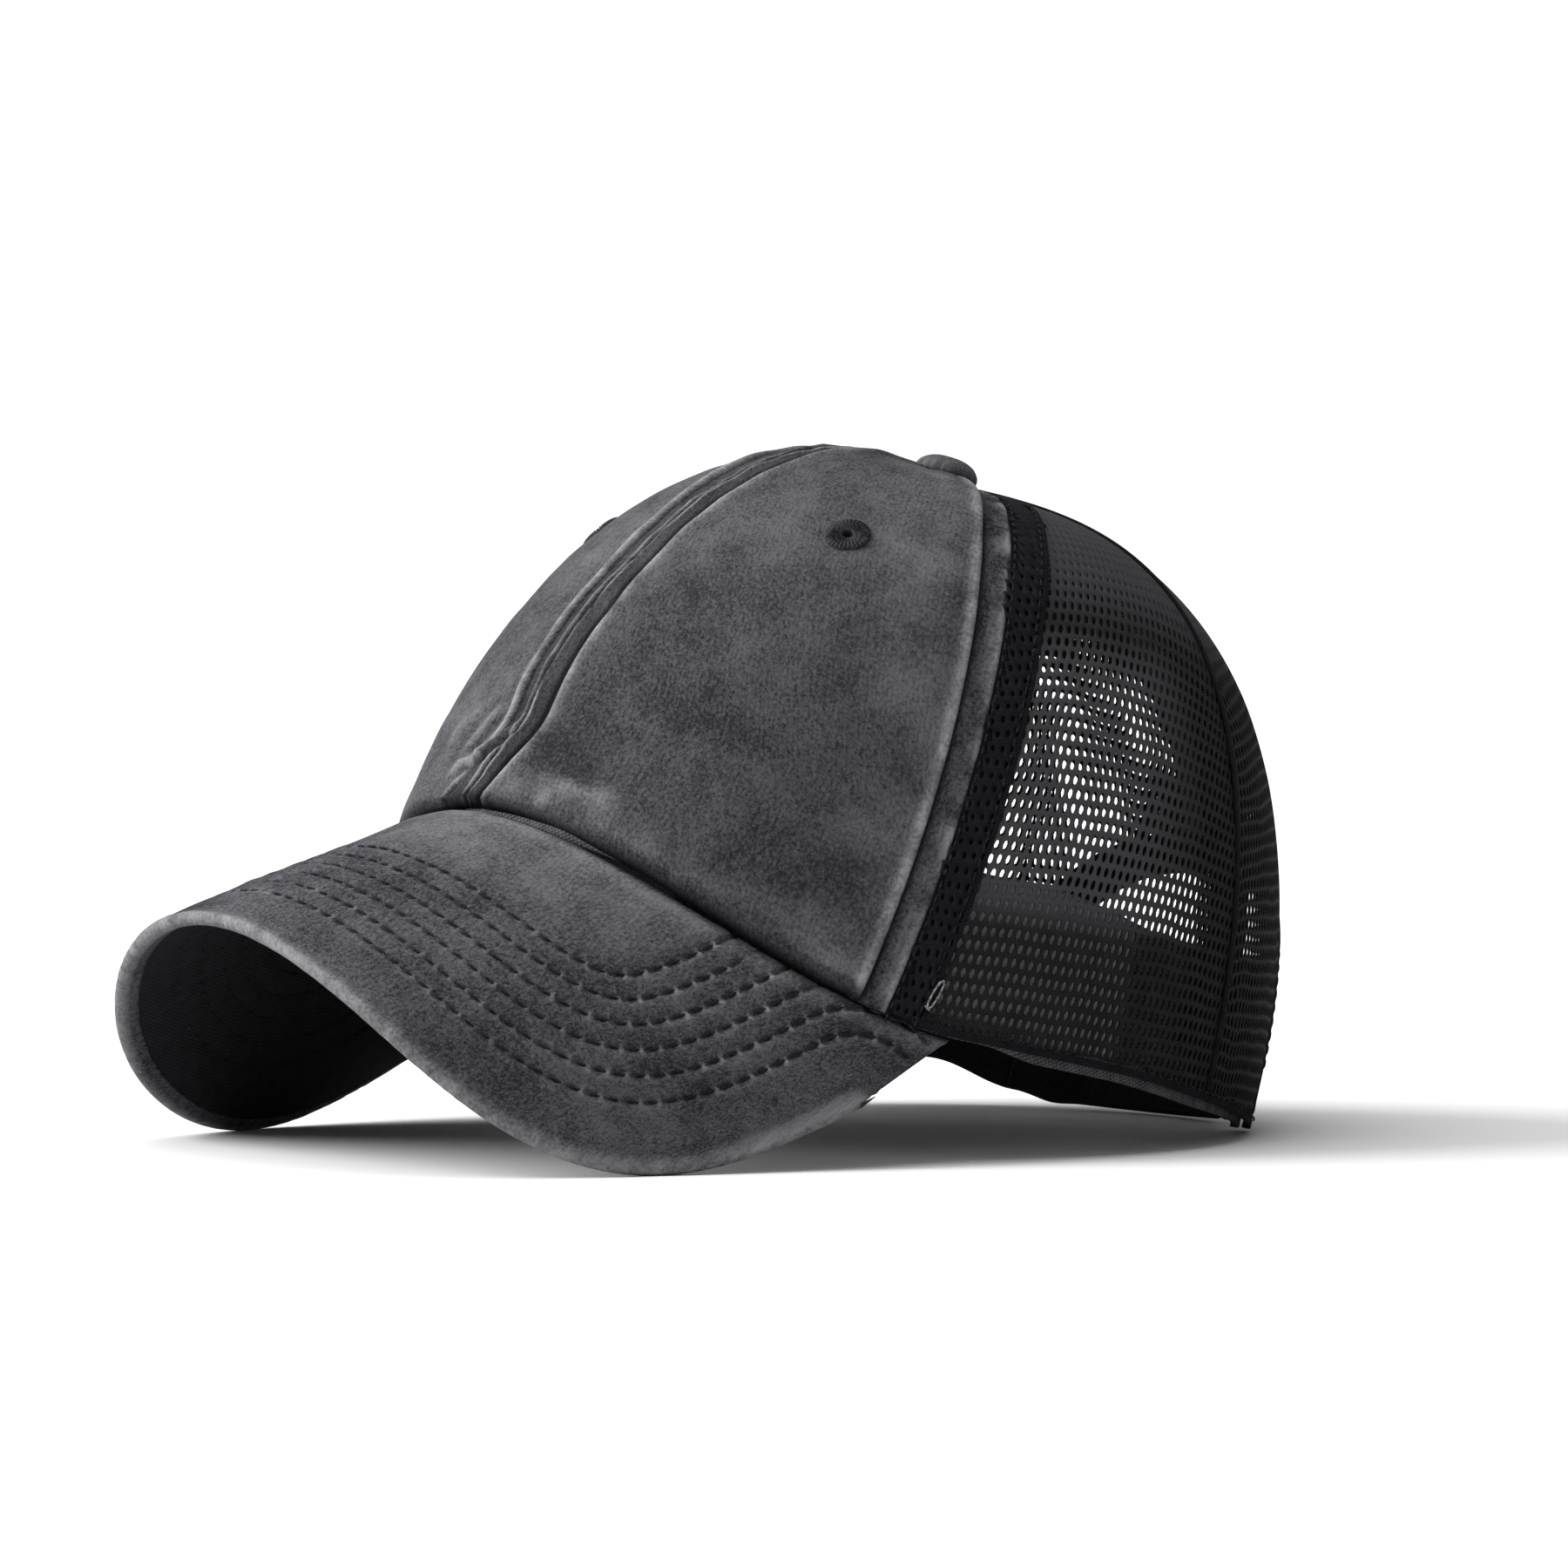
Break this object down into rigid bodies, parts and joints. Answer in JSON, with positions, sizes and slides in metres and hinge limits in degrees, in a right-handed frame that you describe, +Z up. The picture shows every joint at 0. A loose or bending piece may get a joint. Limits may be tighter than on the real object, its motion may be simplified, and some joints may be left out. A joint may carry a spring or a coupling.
{
  "type": "trucker cap",
  "caption": "Trucker cap with washed charcoal cotton front panels and curved peak, black mesh sides and back, sweatband, covered top button and fastened back strap.",
  "frame": {"origin": "on the surface that the cap rests on, under the middle of its bounding box", "axes": "+Z up, -Y forward over the peak, +X towards the wearer's left"},
  "size_m": [0.1808, 0.2532, 0.143],
  "materials": {
    "washed_cotton": "washed charcoal cotton twill, worn pale along raised edges",
    "mesh": "open knitted black polyester mesh",
    "black_tape": "black woven seam tape",
    "black_cloth": "matt black cotton twill",
    "dark_thread": "dark sewing thread"
  },
  "bodies": {
    "root": {"front_panel_left": "washed_cotton", "side_strip_left": "washed_cotton", "mesh_band_left": "mesh", "side_mesh_left": "mesh", "back_mesh_left": "mesh", "seam_tape_left": "black_tape", "strap_left": "black_cloth", "eyelet_left": "dark_thread", "front_panel_right": "washed_cotton", "side_strip_right": "washed_cotton", "mesh_band_right": "mesh", "side_mesh_right": "mesh", "back_mesh_right": "mesh", "seam_tape_right": "black_tape", "strap_right": "black_cloth", "eyelet_right": "dark_thread", "seam_tape_back": "black_tape", "opening_binding": "black_tape", "sweatband": "black_cloth", "peak": "washed_cotton", "peak_underside": "black_cloth", "top_button": "washed_cotton"}
  },
  "joints": []
}
